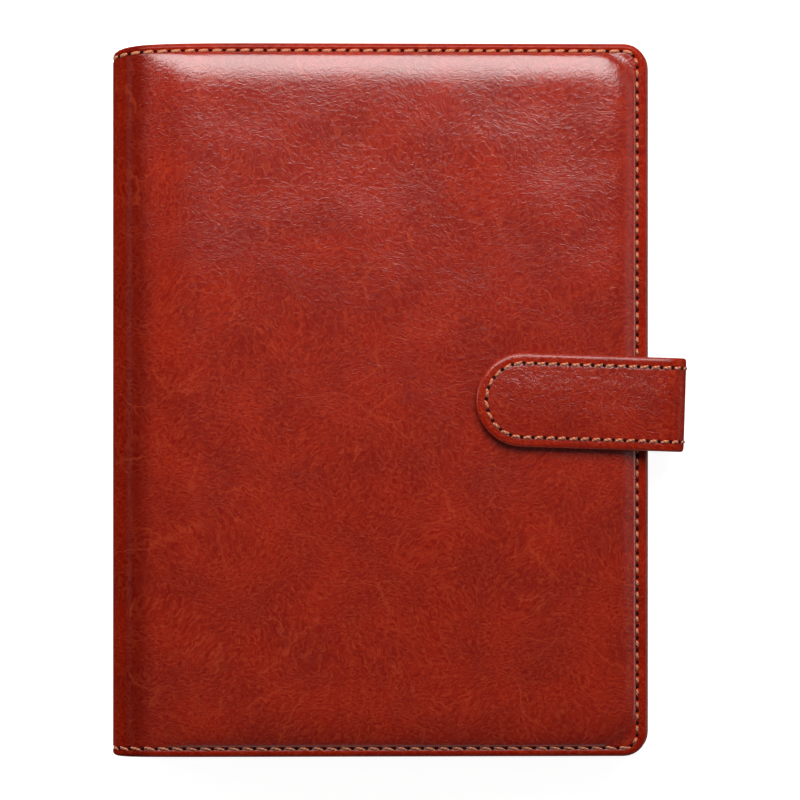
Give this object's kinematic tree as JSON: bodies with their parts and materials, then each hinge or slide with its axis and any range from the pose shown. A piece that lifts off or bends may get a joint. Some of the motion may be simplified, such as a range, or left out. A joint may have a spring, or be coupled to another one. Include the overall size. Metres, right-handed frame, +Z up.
{
  "type": "loose-leaf notebook",
  "caption": "Padded leather ring-binder notebook with a rolled spine, punched refill sheets on a split-ring mechanism, inner pockets and a snap strap round the fore-edge.",
  "frame": {"origin": "under the middle of the closed book and its strap, on the face that the back cover rests on", "axes": "+Z up out of the front cover, +Y along the spine to the head of the book, +X from the spine to the fore-edge"},
  "size_m": [0.185, 0.23, 0.0429],
  "materials": {
    "leather": "glossy waxed leather with fine creases",
    "lining": "smooth matt lining leather",
    "pocket": "smooth matt pocket leather",
    "board": "grey board",
    "foam": "soft padding",
    "nickel": "bright nickel plate",
    "snap_metal": "nickel-plated snap",
    "paper": "ivory writing paper",
    "card": "kraft card",
    "clear_film": "frosted clear sheet"
  },
  "bodies": {
    "back_cover": {"back_leather": "leather", "back_foam_pad": "foam", "back_board": "board", "back_lining": "lining", "back_slip_pocket": "pocket", "strap_root": "leather"},
    "spine": {"spine_leather": "leather", "spine_board": "board", "spine_lining": "lining", "ring_cover_plate": "nickel", "rivet_top": "nickel", "rivet_bottom": "nickel"},
    "front_cover": {"front_leather": "leather", "front_foam_pad": "foam", "front_board": "board", "front_lining": "lining", "front_slip_pocket": "pocket", "card_slot_1": "pocket", "card_slot_2": "pocket", "card_slot_3": "pocket", "snap_socket": "snap_metal", "snap_backplate": "snap_metal"},
    "ring_leaf_front": {"leaf_front": "nickel", "half_ring_front_1": "nickel", "half_ring_front_2": "nickel", "half_ring_front_3": "nickel", "half_ring_front_4": "nickel", "half_ring_front_5": "nickel", "half_ring_front_6": "nickel"},
    "ring_leaf_back": {"leaf_back": "nickel", "half_ring_back_1": "nickel", "half_ring_back_2": "nickel", "half_ring_back_3": "nickel", "half_ring_back_4": "nickel", "half_ring_back_5": "nickel", "half_ring_back_6": "nickel"},
    "lever_top": {"trigger_top": "nickel"},
    "lever_bottom": {"trigger_bottom": "nickel"},
    "pages": {"flyleaf": "clear_film", "divider_1": "card", "paper_block_1": "paper", "divider_2": "card", "paper_block_2": "paper", "divider_3": "card", "paper_block_3": "paper", "divider_4": "card", "paper_block_4": "paper", "back_sheet": "card"},
    "strap_side": {"strap_side_leather": "leather", "strap_side_lining": "lining"},
    "strap_tongue": {"strap_tongue_leather": "leather", "strap_tongue_lining": "lining", "snap_stud": "snap_metal"}
  },
  "joints": [
    {"name": "spine_hinge", "type": "hinge", "parent": "back_cover", "child": "spine", "pos_m": [-0.09053, 0, 0.004], "axis": [0, -1, 0], "range_deg": [0, 90]},
    {"name": "front_cover_hinge", "type": "hinge", "parent": "spine", "child": "front_cover", "pos_m": [-0.09053, 0, 0.04], "axis": [0, -1, 0], "range_deg": [0, 95.5]},
    {"name": "ring_front_open", "type": "hinge", "parent": "spine", "child": "ring_leaf_front", "pos_m": [-0.08698, 0, 0.02945], "axis": [0, -1, 0], "range_deg": [0, 11.5]},
    {"name": "ring_back_open", "type": "hinge", "parent": "spine", "child": "ring_leaf_back", "pos_m": [-0.08698, 0, 0.01455], "axis": [0, 1, 0], "range_deg": [0, 11.5]},
    {"name": "trigger_top_press", "type": "hinge", "parent": "spine", "child": "lever_top", "pos_m": [-0.08663, 0.0866, 0.022], "axis": [0, 0, 1], "range_deg": [0, 16]},
    {"name": "trigger_bottom_press", "type": "hinge", "parent": "spine", "child": "lever_bottom", "pos_m": [-0.08663, -0.0866, 0.022], "axis": [0, 0, -1], "range_deg": [0, 16]},
    {"name": "pages_on_rings", "type": "hinge", "parent": "spine", "child": "pages", "pos_m": [-0.07553, 0, 0.022], "axis": [0, -1, 0], "range_deg": [-88.8, 0]},
    {"name": "strap_side_hinge", "type": "hinge", "parent": "back_cover", "child": "strap_side", "pos_m": [0.09104, -0.00167, 0.00435], "axis": [0.0323, 0.9995, 0], "range_deg": [0, 90]},
    {"name": "strap_tongue_hinge", "type": "hinge", "parent": "strap_side", "child": "strap_tongue", "pos_m": [0.09104, -0.00167, 0.03005], "axis": [0.0323, 0.9995, 0], "range_deg": [0, 84.5]}
  ],
  "couplings": [
    {"joint": "ring_back_open", "follows": "ring_front_open", "ratio": 1},
    {"joint": "trigger_top_press", "follows": "ring_front_open", "ratio": 1.39},
    {"joint": "trigger_bottom_press", "follows": "ring_front_open", "ratio": 1.39},
    {"joint": "pages_on_rings", "follows": "spine_hinge", "ratio": -0.9856}
  ]
}
